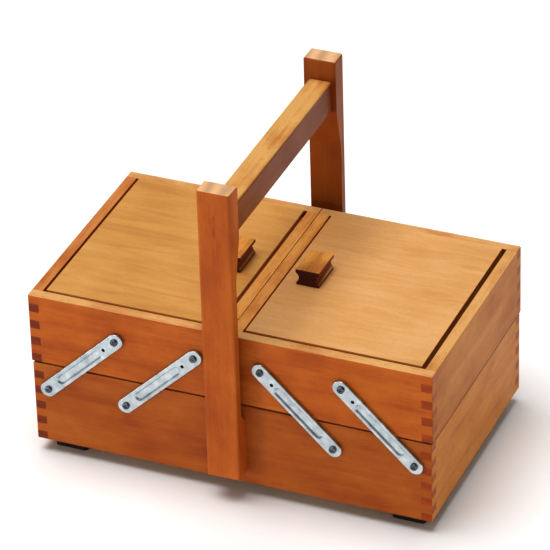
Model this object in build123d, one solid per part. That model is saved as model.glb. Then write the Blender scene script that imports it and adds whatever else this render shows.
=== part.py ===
from build123d import *
import os

# Wooden cantilever sewing box. Millimetres, +Z up, +X along the length, -Y is the front.
# The origin is the centre of the footprint on the floor.

# Overall sizes
box_length = 360.0
box_depth = 212.0
foot_height = 12.5
base_height = 76.4
tray_height = 65.6
tier_gap = 1.5
tray_seam = 0.5
end_overhang = 1.0

# Walls and bottoms
wall = 9.5
inner_wall = 10.0
tray_fingers = 8
base_fingers = 10
wall_round = 1.0
base_ply = 5.0
tray_ply = 4.0
ply_rebate = 4.0

# Feet and their screws
foot_size = 29.0
foot_inset = 11.0
foot_round = 2.5
foot_edge = 0.8
foot_recess = 5.5
foot_recess_deep = 5.0
foot_screw_shank = 1.7
foot_screw_in_ply = 4.0

# Handle
upright_width = 29.0
upright_thick = 17.5
upright_relief = 8.8
upright_top = 302.0
upright_lift = 12.0
relief_rim = 4.0
relief_run_low = 10.0
relief_run_high = 38.0
head_round = 2.2
bar_width = 21.0
bar_height = 29.0
bar_drop = 20.0
bar_round = 2.6
wedge_thick = 1.8
wedge_height = 20.0
wedge_into_bar = 8.0
handle_screw_shank = 1.9
handle_screw_bite = 11.0
handle_screw_lifts = (26.0, 50.0)

# Link arms: pivots and pressed section
outer_pivot_inset = 15.5
inner_pivot_offset = 29.75
link_reach = 63.25
lower_pivot_drop = 22.4
upper_pivot_lift = 37.1
link_width = 13.8
link_end = 7.8
link_sheet = 0.9
link_flange = 2.4
link_off_wood = 0.5
channel_width = 8.2
channel_depth = 1.3
channel_slope = 50.0
channel_from_top = 18.0
channel_from_low = 13.0
link_hole = 1.6
link_hole_at = 14.2
link_edge_round = 0.6

# Pivot screws and spacers; the screw heads are alike everywhere
screw_shank = 1.9
screw_into_wood = 8.0
screw_head = 3.2
screw_head_high = 1.6
head_crown = 1.0
cross_long = 4.0
cross_wide = 0.8
cross_deep = 0.7
screw_turn = 37.0
spacer_radius = 4.2

# Lids
lid_thick = 4.0
lid_proud = 1.5
lid_side_gap = 0.8
lid_inner_gap = 2.5
lid_outer_gap = 3.4
batten_width = 14.0
batten_height = 8.0
pin_below_rail = 5.0
pin_radius = 1.25
pin_in_wall = 5.0
pin_in_batten = 9.0
rest_width = 5.0
rest_height = 6.0
rest_short = 6.0

# Knobs
knob_length = 33.0
knob_height = 15.0
knob_top_width = 21.5
knob_waist_width = 15.6
knob_foot_width = 20.5
knob_lip = 3.4
knob_rim = 2.4
knob_edge = 1.1
knob_from_centre = 35.5
knob_screw_shank = 1.6
knob_screw_in_knob = 9.0

# Fits
turning_fit = 0.06
seated_fit = 0.02
clear_gap = 0.3

# Derived levels and positions
half_length = box_length / 2
half_depth = box_depth / 2
base_half = half_length - end_overhang
base_low = foot_height
base_rim = base_low + base_height
tray_low = base_rim + tier_gap
tray_rim = tray_low + tray_height
tray_inner_x = tray_seam / 2
lower_pivot_z = base_rim - lower_pivot_drop
upper_pivot_z = tray_low + upper_pivot_lift
link_rise = upper_pivot_z - lower_pivot_z
outer_lower_x = half_length - outer_pivot_inset
outer_upper_x = outer_lower_x - link_reach
inner_upper_x = inner_pivot_offset
inner_lower_x = inner_upper_x + link_reach
spacer_thick = link_off_wood + link_flange - link_sheet - clear_gap
head_start = link_off_wood + link_flange + clear_gap
lid_top = tray_rim + lid_proud
lid_under = lid_top - lid_thick
lid_inner_x = tray_inner_x + inner_wall + lid_inner_gap
lid_outer_x = half_length - wall - lid_outer_gap
lid_half_depth = half_depth - wall - lid_side_gap
pin_x = lid_outer_x - batten_width / 2
pin_z = tray_rim - pin_below_rail
bar_top = upright_top - bar_drop
bar_low = bar_top - bar_height

nodes = {}


def block(x0, x1, y0, y1, z0, z1):
    """A box between two opposite corners."""
    size = (x1 - x0, y1 - y0, z1 - z0)
    middle = ((x0 + x1) / 2, (y0 + y1) / 2, (z0 + z1) / 2)
    return Pos(*middle) * Box(*size)


def rod_y(radius, x, z, y0, y1):
    """A round bar along Y."""
    return Pos(x, (y0 + y1) / 2, z) * Rot(90, 0, 0) * Cylinder(radius, abs(y1 - y0))


def rod_z(radius, x, y, z0, z1):
    """A round bar along Z."""
    return Pos(x, y, (z0 + z1) / 2) * Cylinder(radius, z1 - z0)


def jointed_walls(x0, x1, z0, z1, fingers, low_wall, high_wall, panel):
    """Four box-jointed walls round a bottom panel: front, rear, low-X side, high-X side.

    Fingers are counted from the rim; the first one belongs to the front and rear walls.
    The outer edges are rounded, except at the seam where two trays meet.
    """
    pitch = (z1 - z0) / fingers
    outside = block(x0, x1, -half_depth, half_depth, z0, z1)
    seam = [edge for edge in outside.edges() if abs(edge.center().X - tray_inner_x) < tray_seam]
    outside = fillet([edge for edge in outside.edges() if edge not in seam], wall_round)
    front = outside & block(x0, x1, -half_depth, -half_depth + wall, z0, z1)
    rear = outside & block(x0, x1, half_depth - wall, half_depth, z0, z1)
    low = outside & block(x0, x0 + low_wall, -half_depth, half_depth, z0, z1)
    high = outside & block(x1 - high_wall, x1, -half_depth, half_depth, z0, z1)
    for index in range(fingers):
        top = z1 - index * pitch
        for side in (-1, 1):
            y0 = min(side * half_depth, side * (half_depth - wall))
            low_cell = block(x0, x0 + low_wall, y0, y0 + wall, top - pitch, top)
            high_cell = block(x1 - high_wall, x1, y0, y0 + wall, top - pitch, top)
            if index % 2 == 0:
                low -= low_cell
                high -= high_cell
            elif side < 0:
                front -= low_cell + high_cell
            else:
                rear -= low_cell + high_cell
    return [piece - panel for piece in (front, rear, low, high)]


def screw(shank, reach, at, out, turn):
    """Cross-slotted round-head screw: its head sits at a point and faces along out."""
    head = Pos(0, 0, screw_head_high / 2) * Cylinder(screw_head, screw_head_high)
    crown = head.edges().filter_by(GeomType.CIRCLE).sort_by(Axis.Z)[-1]
    head = fillet(crown, head_crown)
    arm = Pos(0, 0, screw_head_high - cross_deep / 2) * Box(cross_long, cross_wide, cross_deep)
    head -= arm + Rot(0, 0, 90) * arm
    body = head + Pos(0, 0, -reach / 2) * Cylinder(shank, reach)
    return Plane(origin=at, x_dir=(1, 0, 0), z_dir=out) * (Rot(0, 0, turn) * body)


def drilled(piece, spots, side):
    """Blind screw holes in the outer face of a front (-1) or rear (+1) wall."""
    for x, z in spots:
        face = side * half_depth
        piece -= rod_y(screw_shank + seated_fit, x, z, face - side * screw_into_wood, face)
    return piece


def pivot_screws(spots):
    """The screws that the link arms turn on, in the front and rear walls."""
    reach = screw_into_wood + head_start
    places = [(x, side * (half_depth + head_start), z) for x, z in spots for side in (-1, 1)]
    return [screw(screw_shank, reach, at, (0, at[1], 0), index * screw_turn)
            for index, at in enumerate(places)]


def spacer(x, z, side):
    """Plain bush that holds a link arm off the wood."""
    face = side * half_depth
    ring = rod_y(spacer_radius, x, z, face, face + side * spacer_thick)
    return ring - rod_y(screw_shank + seated_fit, x, z, face, face + side * spacer_thick)


def link_arm(lower, upper, side):
    """Pressed steel arm: flanged edge turned to the wood and a sunk channel in the face."""
    rise = upper[1] - lower[1]
    run = upper[0] - lower[0]
    length = (rise ** 2 + run ** 2) ** 0.5
    front = link_off_wood + link_flange
    outline = SlotOverall(length + 2 * link_end, link_width)
    body = Pos(length / 2, 0, link_off_wood) * extrude(outline, link_flange)
    rim = body.edges().group_by(Axis.Z)[-1]
    body = fillet(rim, link_edge_round)
    inside = SlotOverall(length + 2 * (link_end - link_sheet), link_width - 2 * link_sheet)
    hollow = link_flange - link_sheet
    body -= Pos(length / 2, 0, link_off_wood) * extrude(inside, hollow)
    channel_run = length - channel_from_top - channel_from_low
    channel_x = channel_from_low + channel_run / 2
    channel = SlotOverall(channel_run, channel_width)
    rib = SlotOverall(channel_run + 2 * link_sheet, channel_width + 2 * link_sheet)
    body += Pos(channel_x, 0, front - link_sheet) * extrude(rib, -channel_depth, taper=channel_slope)
    body -= Pos(channel_x, 0, front) * extrude(channel, -channel_depth, taper=channel_slope)
    for at in (0, length):
        body -= rod_z(screw_shank + turning_fit, at, 0, 0, front)
    body -= rod_z(link_hole, length - link_hole_at, 0, 0, front)
    x_dir = (run, 0, rise)
    plane = Plane(origin=(lower[0], side * half_depth, lower[1]), x_dir=x_dir, z_dir=(0, side, 0))
    return plane * body


def upright(side):
    """Handle side: thick at head and foot, its inner face relieved beside the trays."""
    inner = half_depth
    relieved = half_depth + upright_relief
    outer = half_depth + upright_thick
    relief_low = base_rim - relief_rim
    relief_high = bar_low - relief_run_high
    corners = [
        (inner, base_low + upright_lift),
        (outer, base_low + upright_lift),
        (outer, upright_top),
        (inner, upright_top),
        (inner, bar_low),
        (relieved, relief_high),
        (relieved, relief_low),
        (inner, relief_low - relief_run_low),
    ]
    profile = make_face(Polyline(*[(0, y, z) for y, z in corners], close=True))
    long_run = profile.vertices().filter_by_position(Axis.Z, relief_high - 1, bar_low + 1)
    short_run = profile.vertices().filter_by_position(Axis.Z, relief_low - relief_run_low - 1, relief_low + 1)
    profile = fillet(long_run, relief_run_high)
    profile = fillet(short_run, relief_run_low * 0.7)
    post = extrude(profile, upright_width / 2, dir=(1, 0, 0), both=True)
    outer_edges = post.faces().sort_by(Axis.Y)[-1].edges()
    top_edges = post.faces().sort_by(Axis.Z)[-1].edges()
    edges = {(round(e.center().X, 3), round(e.center().Y, 3), round(e.center().Z, 3)): e
             for e in [*outer_edges, *top_edges]}
    post = fillet(list(edges.values()), head_round)
    if side < 0:
        post = mirror(post, about=Plane.XZ)
    for lift in handle_screw_lifts:
        end = side * (half_depth + handle_screw_bite)
        post -= rod_y(handle_screw_shank + seated_fit, 0, base_low + lift, side * half_depth, end)
    return post - handle_wedge(side)


def handle_wedge(side):
    """Thin hardwood wedge through the head of an upright into the bar end."""
    y0, y1 = sorted((side * (half_depth - wedge_into_bar), side * (half_depth + upright_thick)))
    middle = (bar_top + bar_low) / 2 + (bar_height - wedge_height) / 4
    half = wedge_height / 2
    return block(-wedge_thick / 2, wedge_thick / 2, y0, y1, middle - half, middle + half)


def knob():
    """Finger grip along Y with a cove down each side."""
    top = knob_top_width / 2
    waist = knob_waist_width / 2
    foot = knob_foot_width / 2
    lip_low = knob_height - knob_lip
    waist_z = (knob_rim + lip_low) / 2
    sides = [
        Line((s * top, knob_height), (s * top, lip_low))
        + ThreePointArc((s * top, lip_low), (s * waist, waist_z), (s * foot, knob_rim))
        + Line((s * foot, knob_rim), (s * foot, 0)) for s in (-1, 1)]
    ends = Line((-top, knob_height), (top, knob_height)) + Line((-foot, 0), (foot, 0))
    face = Plane.XZ * make_face(sides[0] + sides[1] + ends)
    grip = extrude(face, knob_length / 2, both=True)
    grip = fillet(grip.faces().sort_by(Axis.Z)[-1].edges(), knob_edge)
    return Pos(knob_from_centre, 0, lid_top) * grip


# Base box
base_panel = block(
    -base_half + wall - ply_rebate, base_half - wall + ply_rebate,
    -half_depth + wall - ply_rebate, half_depth - wall + ply_rebate,
    base_low, base_low + base_ply)
base_walls = jointed_walls(-base_half, base_half, base_low, base_rim, base_fingers, wall, wall, base_panel)
handle_screws = []
for index, side in enumerate((-1, 1)):
    inside = side * (half_depth - wall)
    for lift in handle_screw_lifts:
        hole = rod_y(handle_screw_shank + seated_fit, 0, base_low + lift, inside, side * half_depth)
        base_walls[index] -= hole
        handle_screws.append(screw(
            handle_screw_shank, wall + handle_screw_bite, (0, inside, base_low + lift),
            (0, -side, 0), screw_turn * len(handle_screws)))
base_spots = [(s * x, lower_pivot_z) for s in (-1, 1) for x in (inner_lower_x, outer_lower_x)]
nodes["base_front_wall"] = [drilled(base_walls[0], base_spots, -1)]
nodes["base_rear_wall"] = [drilled(base_walls[1], base_spots, 1)]
nodes["base_left_wall"] = [base_walls[2]]
nodes["base_right_wall"] = [base_walls[3]]
nodes["base_link_screws"] = pivot_screws(base_spots)
nodes["base_link_spacers"] = [spacer(x, z, s) for x, z in base_spots for s in (-1, 1)]

# Feet under the bottom panel, each with a sunk screw
foot_x = base_half - foot_inset - foot_size / 2
foot_y = half_depth - foot_inset - foot_size / 2
foot_reach = foot_height - foot_recess_deep + foot_screw_in_ply
foot_screws = []
for end_name, sx in (("left", -1), ("right", 1)):
    for side_name, sy in (("front", -1), ("rear", 1)):
        x = sx * foot_x
        y = sy * foot_y
        pad = Pos(x, y, foot_height / 2) * Box(foot_size, foot_size, foot_height)
        pad = fillet(pad.edges().filter_by(Axis.Z), foot_round)
        pad = fillet(pad.faces().sort_by(Axis.Z)[0].edges(), foot_edge)
        pad -= rod_z(foot_recess, x, y, 0, foot_recess_deep)
        shank_hole = rod_z(
            foot_screw_shank + seated_fit, x, y, 0, foot_height + foot_screw_in_ply)
        base_panel -= shank_hole
        nodes[f"foot_{side_name}_{end_name}"] = [pad - shank_hole]
        foot_screws.append(screw(
            foot_screw_shank, foot_reach, (x, y, foot_recess_deep), (0, 0, -1),
            screw_turn * len(foot_screws)))
nodes["foot_screws"] = foot_screws
nodes["base_bottom"] = [base_panel]

# Carrying handle
bar = block(-bar_width / 2, bar_width / 2, -half_depth, half_depth, bar_low, bar_top)
bar = fillet(bar.edges().filter_by(Axis.Y), bar_round)
nodes["handle_upright_front"] = [upright(-1)]
nodes["handle_upright_rear"] = [upright(1)]
nodes["handle_bar"] = [bar - handle_wedge(-1) - handle_wedge(1)]
nodes["handle_wedges"] = [handle_wedge(-1), handle_wedge(1)]
nodes["handle_screws"] = handle_screws

# Right tray, lid and links; the left ones are their mirror image
right = {}
tray_panel = block(
    tray_inner_x + inner_wall - ply_rebate, half_length - wall + ply_rebate,
    -half_depth + wall - ply_rebate, half_depth - wall + ply_rebate,
    tray_low, tray_low + tray_ply)
tray_walls = jointed_walls(
    tray_inner_x, half_length, tray_low, tray_rim, tray_fingers, inner_wall, wall, tray_panel)
tray_spots = [(x, upper_pivot_z) for x in (inner_upper_x, outer_upper_x)]
pin_start = half_depth - wall + pin_in_wall
pin_end = lid_half_depth - pin_in_batten
pin_hole = rod_y(pin_radius + seated_fit, pin_x, pin_z, -pin_start, pin_start)
right["tray_front_wall"] = [drilled(tray_walls[0], tray_spots, -1) - pin_hole]
right["tray_rear_wall"] = [drilled(tray_walls[1], tray_spots, 1) - pin_hole]
right["tray_inner_wall"] = [tray_walls[2]]
right["tray_outer_wall"] = [tray_walls[3]]
right["tray_bottom"] = [tray_panel]
right["tray_link_screws"] = pivot_screws(tray_spots)
right["tray_link_spacers"] = [spacer(x, z, s) for x, z in tray_spots for s in (-1, 1)]
right["tray_lid_pins"] = [rod_y(pin_radius, pin_x, pin_z, s * pin_end, s * pin_start) for s in (-1, 1)]
rest_inner = tray_inner_x + inner_wall
rest_top = lid_under - clear_gap
rest_half = lid_half_depth - rest_short
right["tray_lid_rest"] = [block(
    rest_inner, rest_inner + rest_width, -rest_half, rest_half, rest_top - rest_height, rest_top)]

# Right lid
knob_hole_top = lid_top + knob_screw_in_knob
knob_hole = rod_z(knob_screw_shank + seated_fit, knob_from_centre, 0, lid_under, knob_hole_top)
batten_hole = rod_y(
    pin_radius + turning_fit, pin_x, pin_z, -lid_half_depth, lid_half_depth)
batten_core = rod_y(
    pin_radius + turning_fit, pin_x, pin_z, -pin_end + clear_gap, pin_end - clear_gap)
right["lid_panel"] = [block(
    lid_inner_x, lid_outer_x, -lid_half_depth, lid_half_depth, lid_under, lid_top) - knob_hole]
right["lid_batten"] = [block(
    lid_outer_x - batten_width, lid_outer_x, -lid_half_depth, lid_half_depth,
    lid_under - batten_height, lid_under) - (batten_hole - batten_core)]
right["lid_knob"] = [knob() - knob_hole]
right["lid_knob_screw"] = [screw(
    knob_screw_shank, knob_hole_top - lid_under, (knob_from_centre, 0, lid_under), (0, 0, -1), 0)]

# Right link arms, front and rear
for side_name, s in (("front", -1), ("rear", 1)):
    right[f"outer_link_{side_name}"] = [
        link_arm((outer_lower_x, lower_pivot_z), (outer_upper_x, upper_pivot_z), s)]
    right[f"inner_link_{side_name}"] = [
        link_arm((inner_lower_x, lower_pivot_z), (inner_upper_x, upper_pivot_z), s)]

for name, pieces in right.items():
    nodes[f"right_{name}"] = pieces
    nodes[f"left_{name}"] = [mirror(piece, about=Plane.YZ) for piece in pieces]

os.makedirs("parts", exist_ok=True)
for name, pieces in nodes.items():
    solids = [solid for piece in pieces for solid in piece.solids()]
    shape = solids[0] if len(solids) == 1 else Compound(children=solids)
    export_step(shape, f"parts/{name}.step")
    print(name, len(solids), round(sum(solid.volume for solid in solids), 1))
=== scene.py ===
from math import cos, pi, radians, sin
import bpy
from mathutils import Matrix, Vector

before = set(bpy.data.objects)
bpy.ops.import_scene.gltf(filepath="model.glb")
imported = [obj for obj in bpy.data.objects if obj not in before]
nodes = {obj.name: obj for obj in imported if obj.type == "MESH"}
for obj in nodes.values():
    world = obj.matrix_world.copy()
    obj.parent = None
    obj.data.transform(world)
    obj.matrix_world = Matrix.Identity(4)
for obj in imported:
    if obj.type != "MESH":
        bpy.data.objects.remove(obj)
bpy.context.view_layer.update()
scene = bpy.context.scene
print("frame loaded:", len(nodes), "nodes")


def mm(value):
    return value / 1000


def hexColour(text):  # sRGB hex to the linear colour that the nodes take
    parts = [int(text[i:i + 2], 16) / 255 for i in (1, 3, 5)]
    return tuple(c / 12.92 if c <= 0.04045 else ((c + 0.055) / 1.055) ** 2.4 for c in parts) + (1.0,)


# inputs: socket -> value, or (node, output) to link; stops: (position, hex colour) of a colour ramp
def addNode(tree, kind, settings=None, inputs=None, stops=()):
    node = tree.nodes.new(kind)
    for key, value in (settings or {}).items():
        setattr(node, key, value)
    for key, value in (inputs or {}).items():
        if isinstance(value, tuple) and isinstance(value[0], bpy.types.Node):
            tree.links.new(value[0].outputs[value[1]], node.inputs[key])
        else:
            node.inputs[key].default_value = value
    if stops:
        elements = node.color_ramp.elements
        while len(elements) < len(stops):
            elements.new(0.5)
        for element, (position, colour) in zip(elements, stops):
            element.position = position
            element.color = hexColour(colour)
    return node


def newMaterial(name):
    material = bpy.data.materials.new(name)
    material.use_nodes = True
    material.node_tree.nodes.clear()
    return material, material.node_tree


# The way a board's grain runs, as the turn that lays it along X
grainTurn = {"X": (0, 0, 0), "Y": (0, 0, -pi / 2), "Z": (0, pi / 2, 0)}
grainVector = {"X": (1, 0, 0), "Y": (0, 1, 0), "Z": (0, 0, 1)}

# Layers of the wood: mm along the grain, mm across it, detail, roughness, distortion
woodLayers = {
    "figure": (300.0, 13.0, 4.0, 0.6, 0.4),  # growth streaks
    "fibre": (31.2, 1.2, 2.0, 0.55, 0.0),  # real fibres are finer, drawn as wide as can be seen
    "fleck": (4.5, 0.9, 1.0, 0.55, 0.0),  # the short dark ray flecks of beech
    "mottle": (64.6, 38.0, 3.0, 0.6, 0.0),  # patches where the stain took unevenly
}
layerShare = {"figure": 0.50, "fibre": 0.22, "mottle": 0.75}  # how far each one shifts the tint

woodLook = {
    "seedStep": (0.731, 0.417, 0.293),  # m to a fresh stretch of the pattern for each board
    "bodyStops": (0.28, 0.5, 0.74),  # tint of the dark streak, the body and the pale streak
    "topLitStops": (0.25, 0.55),  # tint where the paler colour of the painted top light starts and is full
    "fleckRange": (0.60, 0.72),
    "fleckShare": 0.35,
    "topLightRange": (0.35, 0.9),  # upward part of the normal where painted top light starts to make a face paler
    "endRange": (0.6, 0.85),  # part of the normal along the grain where end grain starts
    "ringWidth": 15.0796,  # mm between growth rings on end grain
    "ringTone": (0.82, 1.12),
    "fibreDepth": 0.05,  # mm of relief under the varnish
    "fibreStrength": 0.35,
    "satin": (0.50, 0.38),  # roughness of the dark and of the pale parts
    "ior": 1.45,
    "specular": 0.24,  # a thin wiped varnish shines less than a full coat
    "coat": 0.05,
    "coatRoughness": 0.25,
    # the dark seam line is painted shadow along the gap between base and tray
    "seamHeight": 89.65,  # mm above the table, midway between base and tray
    "seamShadeReach": 1.4,  # mm from there that the painted seam shadow reaches
    "seamShadeColour": "#3A160A",
}

# Stains: dark streak, body colour, pale streak, end grain, upward edges made paler by painted top
# light
stains = {
    "wall": ("#9F4A13", "#B7621D", "#C5742A", "#B25A1A", "#DDAF73"),
    "leftWall": ("#9F4A13", "#B7621D", "#C5742A", "#8C3C17", "#DDAF73"),
    # the right walls' paler, yellower stain and end grain are painted light on the right side
    "rightWall": ("#A65C18", "#B87220", "#C6842E", "#B04E18", "#DDAF73"),
    "innerWall": ("#9F4A13", "#B7621D", "#C5742A", "#96481F", "#E8AC60"),
    "handle": ("#9F4A13", "#B5601C", "#C17028", "#DDB389", "#DBAC68"),
    "knob": ("#6A2A12", "#8C4018", "#9C4C1E", "#4C1A16", "#EEAC56"),
    "batten": ("#AC7038", "#D09C5C", "#DCAE72", "#96602C", "#D8A868"),
}


def stainedBeech(name, grain, stain, seed, tone=1.0, paintedTopLight=0.0, seamShade=0.0):
    # Solid beech, planed, wiped with orange-brown stain and satin varnished:
    # plain streaks along the board, short dark flecks, patchy stain, darker end grain,
    # upward edges made paler by painted top light (paintedTopLight) and a painted shadow line by the
    # seam (seamShade).
    darkStreak, body, paleStreak, endGrain, topLitColour = stains[stain]
    material, tree = newMaterial(name)
    place = addNode(tree, "ShaderNodeTexCoord")
    turned = addNode(tree, "ShaderNodeMapping", None, {
        "Vector": (place, "Object"), "Rotation": grainTurn[grain],
        "Location": tuple(seed * step for step in woodLook["seedStep"])})
    layers = {}
    for layer, (length, width, detail, roughness, distortion) in woodLayers.items():
        scaled = addNode(tree, "ShaderNodeMapping", None, {
            "Vector": (turned, "Vector"), "Scale": (1000 / length, 1000 / width, 1000 / width)})
        layers[layer] = addNode(tree, "ShaderNodeTexNoise", None, {
            "Vector": (scaled, "Vector"), "Scale": 1.0, "Detail": detail,
            "Roughness": roughness, "Distortion": distortion})
    total = None
    for layer, share in layerShare.items():  # sum of the layers round a middle of 0
        part = addNode(tree, "ShaderNodeMath", {"operation": "MULTIPLY_ADD"}, {
            0: (layers[layer], "Fac"), 1: share, 2: -share / 2})
        total = part if total is None else addNode(tree, "ShaderNodeMath", {"operation": "ADD"}, {
            0: (total, "Value"), 1: (part, "Value")})
    tint = addNode(tree, "ShaderNodeMath", {"operation": "ADD"}, {0: (total, "Value"), 1: 0.5})

    stainColour = addNode(tree, "ShaderNodeValToRGB", None, {"Fac": (tint, "Value")},
                          tuple(zip(woodLook["bodyStops"], (darkStreak, body, paleStreak))))
    # tone scales each board's colour; it is partly painted light and shade
    toned = addNode(tree, "ShaderNodeVectorMath", {"operation": "SCALE"}, {
        0: (stainColour, "Color"), "Scale": tone})
    topLitTone = addNode(tree, "ShaderNodeValToRGB", None, {"Fac": (tint, "Value")},
                       tuple(zip(woodLook["topLitStops"], (body, topLitColour))))
    fleckMask = addNode(tree, "ShaderNodeMapRange", {"interpolation_type": "SMOOTHSTEP"}, {
        "Value": (layers["fleck"], "Fac"), "From Min": woodLook["fleckRange"][0],
        "From Max": woodLook["fleckRange"][1], "To Min": 0.0, "To Max": woodLook["fleckShare"]})
    normal = addNode(tree, "ShaderNodeSeparateXYZ", None, {"Vector": (place, "Normal")})
    # painted top light: faces that look up turn paler
    topLightMask = addNode(tree, "ShaderNodeMapRange", {"interpolation_type": "SMOOTHSTEP"}, {
        "Value": (normal, "Z"), "From Min": woodLook["topLightRange"][0],
        "From Max": woodLook["topLightRange"][1], "To Min": 0.0, "To Max": paintedTopLight})
    topLit = addNode(tree, "ShaderNodeMix", {"data_type": "RGBA"}, {
        "Factor": (topLightMask, "Result"), 6: (toned, "Vector"), 7: (topLitTone, "Color")})
    flecked = addNode(tree, "ShaderNodeMix", {"data_type": "RGBA"}, {
        "Factor": (fleckMask, "Result"), 6: (topLit, "Result"), 7: hexColour(darkStreak)})

    # A wave of Scale 1 turns 20 radians in a metre
    rings = addNode(tree, "ShaderNodeTexWave", {"wave_type": "BANDS", "bands_direction": "Z"}, {
        "Vector": (turned, "Vector"), "Scale": 1000 * 2 * pi / (20 * woodLook["ringWidth"]),
        "Distortion": 4.0, "Detail": 3.0, "Detail Scale": 1.5})
    ringTone = addNode(tree, "ShaderNodeMapRange", None, {
        "Value": (rings, "Fac"), "To Min": woodLook["ringTone"][0],
        "To Max": woodLook["ringTone"][1]})
    endColour = addNode(tree, "ShaderNodeVectorMath", {"operation": "SCALE"}, {
        0: hexColour(endGrain)[:3], "Scale": (ringTone, "Result")})
    facing = addNode(tree, "ShaderNodeVectorMath", {"operation": "DOT_PRODUCT"}, {
        0: (place, "Normal"), 1: grainVector[grain]})
    endFacing = addNode(tree, "ShaderNodeMath", {"operation": "ABSOLUTE"}, {0: (facing, "Value")})
    endMask = addNode(tree, "ShaderNodeMapRange", {"interpolation_type": "SMOOTHSTEP"}, {
        "Value": (endFacing, "Value"), "From Min": woodLook["endRange"][0],
        "From Max": woodLook["endRange"][1]})
    wood = addNode(tree, "ShaderNodeMix", {"data_type": "RGBA"}, {
        "Factor": (endMask, "Result"), 6: (flecked, "Result"), 7: (endColour, "Vector")})

    # painted shadow: a dark line along the seam between base and tray
    spot = addNode(tree, "ShaderNodeSeparateXYZ", None, {"Vector": (place, "Object")})
    nearSeam = addNode(tree, "ShaderNodeMath", {"operation": "COMPARE"}, {
        0: (spot, "Z"), 1: mm(woodLook["seamHeight"]), 2: mm(woodLook["seamShadeReach"])})
    seamShadeMask = addNode(tree, "ShaderNodeMath", {"operation": "MULTIPLY"}, {
        0: (nearSeam, "Value"), 1: seamShade})
    surface = addNode(tree, "ShaderNodeMix", {"data_type": "RGBA"}, {
        "Factor": (seamShadeMask, "Value"), 6: (wood, "Result"), 7: hexColour(woodLook["seamShadeColour"])})
    relief = addNode(tree, "ShaderNodeBump", None, {
        "Height": (layers["fibre"], "Fac"), "Strength": woodLook["fibreStrength"],
        "Distance": mm(woodLook["fibreDepth"])})
    sheen = addNode(tree, "ShaderNodeMapRange", None, {
        "Value": (tint, "Value"), "From Min": 0.2, "From Max": 0.8,
        "To Min": woodLook["satin"][0], "To Max": woodLook["satin"][1]})
    bsdf = addNode(tree, "ShaderNodeBsdfPrincipled", None, {
        "Base Color": (surface, "Result"), "Roughness": (sheen, "Result"),
        "IOR": woodLook["ior"], "Specular IOR Level": woodLook["specular"],
        "Coat Weight": woodLook["coat"], "Coat Roughness": woodLook["coatRoughness"],
        "Normal": (relief, "Normal")})
    addNode(tree, "ShaderNodeOutputMaterial", None, {"Surface": (bsdf, "BSDF")})
    return material


plyLook = {
    "seedStep": (1.0, 0.37, 0.0),  # m to a fresh stretch of the pattern for each sheet
    "plyThick": 1.0,  # mm
    "streak": (120.0, 15.0, 33.3333),  # mm along, across and through the rotary-cut figure
    "patchSize": 66.6667,  # mm between paler and darker patches
    "patchShare": 0.6,
    "faceStops": (0.55, 0.78, 1.0),
    "fleck": (4.0, 0.9, 10.0),  # mm along, across and through a ray fleck
    "fleckRange": (0.60, 0.72),
    "fleckShare": 0.22,
    "faceRange": (0.55, 0.8),  # upward or downward part of the normal where the face starts
    "satin": (0.36, 0.46),  # roughness of the dark and of the pale patches
    "veneerDepth": 0.08,  # mm of relief
    "ior": 1.5,
    "coatRoughness": 0.3,
}


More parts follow.
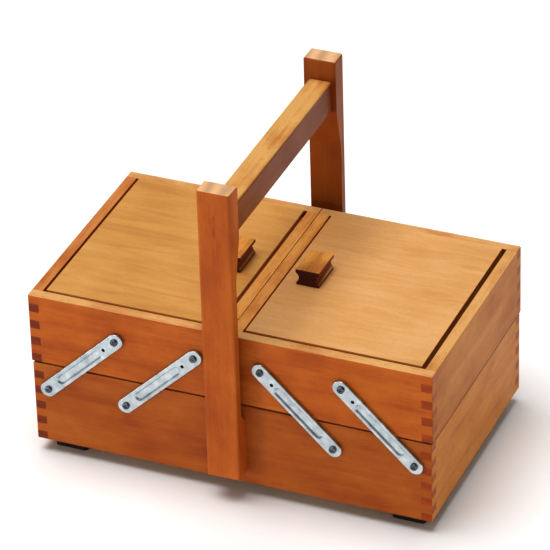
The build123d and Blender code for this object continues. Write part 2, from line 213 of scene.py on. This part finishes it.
def plywood(name, seed, colours, edges, coat=0.25):
    # Beech-faced plywood: broad pale rotary figure with fine flecks on the faces,
    # light and dark plies stacked on the cut edges.
    material, tree = newMaterial(name)
    place = addNode(tree, "ShaderNodeTexCoord")
    turned = addNode(tree, "ShaderNodeMapping", None, {
        "Vector": (place, "Object"), "Location": tuple(seed * step for step in plyLook["seedStep"])})
    scaled = addNode(tree, "ShaderNodeMapping", None, {
        "Vector": (turned, "Vector"), "Scale": tuple(1000 / size for size in plyLook["streak"])})
    figure = addNode(tree, "ShaderNodeTexNoise", None, {
        "Vector": (scaled, "Vector"), "Scale": 1.0, "Detail": 5.0, "Roughness": 0.66,
        "Distortion": 1.8})
    patches = addNode(tree, "ShaderNodeTexNoise", None, {
        "Vector": (turned, "Vector"), "Scale": 1000 / plyLook["patchSize"], "Detail": 2.0})
    fleckPlace = addNode(tree, "ShaderNodeMapping", None, {
        "Vector": (turned, "Vector"), "Scale": tuple(1000 / size for size in plyLook["fleck"])})
    fleck = addNode(tree, "ShaderNodeTexNoise", None, {
        "Vector": (fleckPlace, "Vector"), "Scale": 1.0, "Detail": 1.0})
    blended = addNode(tree, "ShaderNodeMath", {"operation": "MULTIPLY_ADD"}, {
        0: (patches, "Fac"), 1: plyLook["patchShare"], 2: (figure, "Fac")})
    face = addNode(tree, "ShaderNodeValToRGB", None, {"Fac": (blended, "Value")},
                   tuple(zip(plyLook["faceStops"], colours)))
    fleckMask = addNode(tree, "ShaderNodeMapRange", {"interpolation_type": "SMOOTHSTEP"}, {
        "Value": (fleck, "Fac"), "From Min": plyLook["fleckRange"][0],
        "From Max": plyLook["fleckRange"][1], "To Min": 0.0, "To Max": plyLook["fleckShare"]})
    flecked = addNode(tree, "ShaderNodeMix", {"data_type": "RGBA"}, {
        "Factor": (fleckMask, "Result"), 6: (face, "Color"), 7: hexColour(edges[0])})

    height = addNode(tree, "ShaderNodeSeparateXYZ", None, {"Vector": (place, "Object")})
    turnsUp = addNode(tree, "ShaderNodeMath", {"operation": "MULTIPLY"}, {
        0: (height, "Z"), 1: pi * 1000 / plyLook["plyThick"]})  # half a wave for each ply
    plies = addNode(tree, "ShaderNodeMath", {"operation": "SINE"}, {0: (turnsUp, "Value")})
    plyEdge = addNode(tree, "ShaderNodeMapRange", None, {
        "Value": (plies, "Value"), "From Min": -0.4, "From Max": 0.4})
    plyColour = addNode(tree, "ShaderNodeValToRGB", None, {"Fac": (plyEdge, "Result")},
                        tuple(zip((0.0, 1.0), edges)))
    upward = addNode(tree, "ShaderNodeSeparateXYZ", None, {"Vector": (place, "Normal")})
    flatness = addNode(tree, "ShaderNodeMath", {"operation": "ABSOLUTE"}, {0: (upward, "Z")})
    faceMask = addNode(tree, "ShaderNodeMapRange", {"interpolation_type": "SMOOTHSTEP"}, {
        "Value": (flatness, "Value"), "From Min": plyLook["faceRange"][0],
        "From Max": plyLook["faceRange"][1]})
    surface = addNode(tree, "ShaderNodeMix", {"data_type": "RGBA"}, {
        "Factor": (faceMask, "Result"), 6: (plyColour, "Color"), 7: (flecked, "Result")})
    relief = addNode(tree, "ShaderNodeBump", None, {
        "Height": (figure, "Fac"), "Strength": 0.2, "Distance": mm(plyLook["veneerDepth"])})
    sheen = addNode(tree, "ShaderNodeMapRange", None, {
        "Value": (patches, "Fac"), "From Min": 0.3, "From Max": 0.7,
        "To Min": plyLook["satin"][0], "To Max": plyLook["satin"][1]})
    bsdf = addNode(tree, "ShaderNodeBsdfPrincipled", None, {
        "Base Color": (surface, "Result"), "Roughness": (sheen, "Result"),
        "IOR": plyLook["ior"], "Coat Weight": coat, "Coat Roughness": plyLook["coatRoughness"],
        "Normal": (relief, "Normal")})
    addNode(tree, "ShaderNodeOutputMaterial", None, {"Surface": (bsdf, "BSDF")})
    return material


zincLook = {
    "bloomSize": 8.3333,  # mm between cloudy patches
    "bloomStops": (0.30, 0.52, 0.74),
    "bloomRough": (-0.06, 0.10),  # what the bloom takes off the roughness and adds to it
    "gritSize": 1.42857,  # mm; the real grain is finer, drawn as coarse as can be seen
    "gritDepth": 0.05,  # mm
}


def zincPlatedSteel(name, colours, roughness, seed):
    # Bright zinc on pressed steel: cool grey, faint cloudy bloom, fine grit.
    material, tree = newMaterial(name)
    place = addNode(tree, "ShaderNodeTexCoord")
    shifted = addNode(tree, "ShaderNodeMapping", None, {
        "Vector": (place, "Object"), "Location": (seed, seed, seed)})
    bloom = addNode(tree, "ShaderNodeTexNoise", None, {
        "Vector": (shifted, "Vector"), "Scale": 1000 / zincLook["bloomSize"], "Detail": 3.0})
    grit = addNode(tree, "ShaderNodeTexNoise", None, {
        "Vector": (shifted, "Vector"), "Scale": 1000 / zincLook["gritSize"], "Detail": 2.0})
    tint = addNode(tree, "ShaderNodeValToRGB", None, {"Fac": (bloom, "Fac")},
                   tuple(zip(zincLook["bloomStops"], colours)))
    rough = addNode(tree, "ShaderNodeMapRange", None, {
        "Value": (bloom, "Fac"), "From Min": 0.3, "From Max": 0.7,
        "To Min": roughness + zincLook["bloomRough"][0],
        "To Max": roughness + zincLook["bloomRough"][1]})
    relief = addNode(tree, "ShaderNodeBump", None, {
        "Height": (grit, "Fac"), "Strength": 0.25, "Distance": mm(zincLook["gritDepth"])})
    bsdf = addNode(tree, "ShaderNodeBsdfPrincipled", None, {
        "Base Color": (tint, "Color"), "Metallic": 1.0, "Roughness": (rough, "Result"),
        "Normal": (relief, "Normal")})
    addNode(tree, "ShaderNodeOutputMaterial", None, {"Surface": (bsdf, "BSDF")})
    return material


rubberLook = {
    "dustSize": 11.1111,  # mm between dusty patches
    "clean": "#0E0D0D",
    "dusty": "#26221F",
    "roughness": 0.72,
    "ior": 1.5,
    "moulding": 0.2,  # mm of relief
}


def mouldedRubber(name):
    # Black rubber, moulded and matt, a little dusty and scuffed.
    material, tree = newMaterial(name)
    place = addNode(tree, "ShaderNodeTexCoord")
    dust = addNode(tree, "ShaderNodeTexNoise", None, {
        "Vector": (place, "Object"), "Scale": 1000 / rubberLook["dustSize"], "Detail": 4.0})
    tint = addNode(tree, "ShaderNodeValToRGB", None, {"Fac": (dust, "Fac")},
                   ((0.35, rubberLook["clean"]), (0.75, rubberLook["dusty"])))
    relief = addNode(tree, "ShaderNodeBump", None, {
        "Height": (dust, "Fac"), "Strength": 0.2, "Distance": mm(rubberLook["moulding"])})
    bsdf = addNode(tree, "ShaderNodeBsdfPrincipled", None, {
        "Base Color": (tint, "Color"), "Roughness": rubberLook["roughness"],
        "IOR": rubberLook["ior"], "Normal": (relief, "Normal")})
    addNode(tree, "ShaderNodeOutputMaterial", None, {"Surface": (bsdf, "BSDF")})
    return material


def dress(name, material):
    slots = nodes[name].data.materials
    slots.clear()
    slots.append(material)


edgeLook = {"joinGap": 0.001, "flatDegrees": 1, "sharpDegrees": 32, "segments": 2}  # joinGap in mm


def easeEdges(name, width):  # merge the loose triangles, then round every sharp edge a little
    piece = nodes[name]
    piece.modifiers.new("join", "WELD").merge_threshold = mm(edgeLook["joinGap"])
    flat = piece.modifiers.new("flat", "DECIMATE")
    flat.decimate_type = "DISSOLVE"
    flat.angle_limit = radians(edgeLook["flatDegrees"])
    edge = piece.modifiers.new("edge", "BEVEL")
    edge.width = mm(width)
    edge.segments = edgeLook["segments"]
    edge.limit_method = "ANGLE"
    edge.angle_limit = radians(edgeLook["sharpDegrees"])
    edge.harden_normals = True
    edge.use_clamp_overlap = True


# Boards: grain axis, stain, tone of that board (partly painted light and shade), painted top light
# on its upward faces, darkness of its painted seam shadow, edge rounding in mm
boards = {
    "base_front_wall": ("X", "wall", 0.96, 0.5, 0.0, 0.3),
    "base_rear_wall": ("X", "wall", 1.04, 0.5, 0.0, 0.3),
    "base_left_wall": ("Y", "leftWall", 1.08, 0.5, 0.8, 0.3),
    # the right walls' high tones are painted light on the right side
    "base_right_wall": ("Y", "rightWall", 1.22, 0.5, 0.8, 0.3),
    # the rear upright's and the bar's low tones are painted shade
    "handle_upright_front": ("Z", "handle", 1.14, 0.0, 0.0, 0.3),
    "handle_upright_rear": ("Z", "handle", 0.74, 0.0, 0.0, 0.3),
    "handle_bar": ("Y", "handle", 0.56, 1.0, 0.0, 0.3),
    "left_tray_front_wall": ("X", "wall", 1.14, 1.0, 0.0, 0.3),
    "right_tray_front_wall": ("X", "wall", 1.18, 1.0, 0.0, 0.3),
    "left_tray_outer_wall": ("Y", "leftWall", 1.10, 0.45, 0.8, 0.3),
    "right_tray_outer_wall": ("Y", "rightWall", 1.10, 0.9, 0.8, 0.3),
}
for side in ("left", "right"):  # boards that are alike on both sides
    boards[f"{side}_tray_rear_wall"] = ("X", "wall", 1.02, 0.9, 0.0, 0.3)
    boards[f"{side}_tray_inner_wall"] = ("Y", "innerWall", 1.22, 0.92, 0.0, 0.2)
    boards[f"{side}_tray_lid_rest"] = ("Y", "batten", 1.0, 0.0, 0.0, 0.3)
    boards[f"{side}_lid_batten"] = ("Y", "batten", 1.0, 0.0, 0.0, 0.5)
    boards[f"{side}_lid_knob"] = ("Y", "knob", 1.0, 1.0, 0.0, 0.4)
for seed, (name, (grain, stain, tone, paintedTopLight, seamShade, edge)) in enumerate(sorted(boards.items()), 1):
    dress(name, stainedBeech(f"stained_beech_{name}", grain, stain, seed, tone, paintedTopLight, seamShade))
    easeEdges(name, edge)
wedge = {"seed": 40, "tone": 0.35}  # darker than the boards, end grain out
dress("handle_wedges", stainedBeech("dark_wedge", "Y", "wall", wedge["seed"], wedge["tone"]))
print("boards dressed:", len(boards))

# Plywood: face colours from dark to pale, and the dark and the pale ply of the cut edge
lidColours = {
    "left": ("#C48C46", "#D09A50", "#D8A55C"),
    "right": ("#D29C5C", "#DDA96A", "#E3B378"),
}
lidEdges = ("#A86024", "#C88440")
plainColours = ("#D0A468", "#E0BA82", "#E8C898")
plainEdges = ("#94683A", "#D0A66E")
lidEdge = 0.5  # mm of rounding
for seed, side in enumerate(("left", "right")):
    lidPly = plywood(f"lid_plywood_{side}", 0.3 + seed, lidColours[side], lidEdges)
    dress(f"{side}_lid_panel", lidPly)
    easeEdges(f"{side}_lid_panel", lidEdge)
    trayPly = plywood(f"tray_plywood_{side}", 2.3 + seed, plainColours, plainEdges, coat=0.0)
    dress(f"{side}_tray_bottom", trayPly)
dress("base_bottom", plywood("base_plywood", 5.1, plainColours, plainEdges, coat=0.0))
print("plywood dressed")

# Metal: colours from dark to pale, and roughness
armColours = ("#AEB9BF", "#C6D0D4", "#DDE4E6")
screwColours = ("#4E5459", "#6C7379", "#8A9298")
metalRoughness = {"arm": 0.30, "bush": 0.34, "screw": 0.42}
arms = [f"{side}_{pair}_link_{face}" for side in ("left", "right") for pair in ("outer", "inner")
        for face in ("front", "rear")]
for seed, name in enumerate(arms):
    dress(name, zincPlatedSteel(f"zinc_plate_{name}", armColours, metalRoughness["arm"], seed * 0.7))
armSteel = zincPlatedSteel("zinc_plate_bushes", armColours, metalRoughness["bush"], 9.1)
screwSteel = zincPlatedSteel("dull_zinc_screws", screwColours, metalRoughness["screw"], 3.3)
rubber = mouldedRubber("black_rubber")
for name in nodes:
    if name.endswith("spacers"):
        dress(name, armSteel)
    elif "screw" in name or name.endswith("lid_pins"):
        dress(name, screwSteel)
    elif name.startswith("foot_"):
        dress(name, rubber)
print("metal and rubber dressed")


# Camera: long lens from above the front right; angles in degrees, lengths in m
shot = {
    "azimuth": 23.356, "elevation": 32.387, "roll": -1.772,
    "distance": 3.6277, "sensor": 36, "lensInSensors": 4328.4 / 550,
    "aim": (-0.0008, 0.0, 0.15103), "farthest": 60,
}
turn = radians(shot["azimuth"])
lift = radians(shot["elevation"])
roll = radians(shot["roll"])
back = Vector((sin(turn) * cos(lift), -cos(turn) * cos(lift), sin(lift)))
right = (-back).cross(Vector((0, 0, 1))).normalized()
up = right.cross(-back)
rolledRight = right * cos(roll) + up * sin(roll)
rolledUp = up * cos(roll) - right * sin(roll)
cameraData = bpy.data.cameras.new("camera")
cameraData.sensor_width = shot["sensor"]
cameraData.lens = shot["sensor"] * shot["lensInSensors"]
cameraData.clip_end = shot["farthest"]
camera = bpy.data.objects.new("camera", cameraData)
scene.collection.objects.link(camera)
stand = Matrix.Translation(Vector(shot["aim"]) + back * shot["distance"])
camera.matrix_world = stand @ Matrix((rolledRight, rolledUp, back)).transposed().to_4x4()
scene.camera = camera

# Floor: a pale matt sheet, wide enough for every view
sheet = {"reach": 30.0, "colour": "#F2F2F2", "roughness": 0.9}  # reach in m from the middle
floorMesh = bpy.data.meshes.new("floor")
corners = [(x * sheet["reach"], y * sheet["reach"], 0)
           for x, y in ((-1, -1), (1, -1), (1, 1), (-1, 1))]
floorMesh.from_pydata(corners, [], [(0, 1, 2, 3)])
floor = bpy.data.objects.new("floor", floorMesh)
scene.collection.objects.link(floor)
floorMaterial, floorTree = newMaterial("pale_floor")
floorSurface = addNode(floorTree, "ShaderNodeBsdfPrincipled", None, {
    "Base Color": hexColour(sheet["colour"]), "Roughness": sheet["roughness"],
    "Specular IOR Level": 0.1})
addNode(floorTree, "ShaderNodeOutputMaterial", None, {"Surface": (floorSurface, "BSDF")})
floorMesh.materials.append(floorMaterial)

# Light: a wide soft sky panel overhead, low reflector cards in front and on the right, a box behind
lights = {  # kind, place in m, power, its own settings
    "sky_panel": ("SUN", (-0.30, -0.10, 1.9), 2.9, {"angle": radians(46)}),
    "front_card": ("AREA", (-0.8, -0.95, 0.10), 4.0, {"shape": "SQUARE", "size": 0.3}),
    "right_card": ("AREA", (1.2, -0.3, 0.08), 2.0, {"shape": "SQUARE", "size": 0.4}),
    "back_box": ("AREA", (0.3, 2.4, 0.9), 8.0, {"shape": "SQUARE", "size": 1.1}),
}
lightAim = Vector((0, 0, 0.1))
for name, (kind, at, power, settings) in lights.items():
    lightData = bpy.data.lights.new(name, kind)
    lightData.energy = power
    for key, value in settings.items():
        setattr(lightData, key, value)
    light = bpy.data.objects.new(name, lightData)
    scene.collection.objects.link(light)
    light.location = at
    light.rotation_mode = "QUATERNION"
    light.rotation_quaternion = (lightAim - light.location).to_track_quat("-Z", "Y")
    light.visible_camera = False

room = {"colour": "#FFFFFF", "asLight": 0.26, "asBackdrop": 1.0, "printContrast": 0.8}
world = bpy.data.worlds.new("room")
scene.world = world
world.use_nodes = True
world.node_tree.nodes.clear()
seen = addNode(world.node_tree, "ShaderNodeLightPath")
brightness = addNode(world.node_tree, "ShaderNodeMapRange", None, {
    "Value": (seen, "Is Camera Ray"), "To Min": room["asLight"], "To Max": room["asBackdrop"]})
roomLight = addNode(world.node_tree, "ShaderNodeBackground", None, {
    "Color": hexColour(room["colour"]), "Strength": (brightness, "Result")})
addNode(world.node_tree, "ShaderNodeOutputWorld", None, {"Surface": (roomLight, "Background")})
scene.view_settings.view_transform = "Standard"
scene.view_settings.gamma = room["printContrast"]
print("camera, floor and light set")
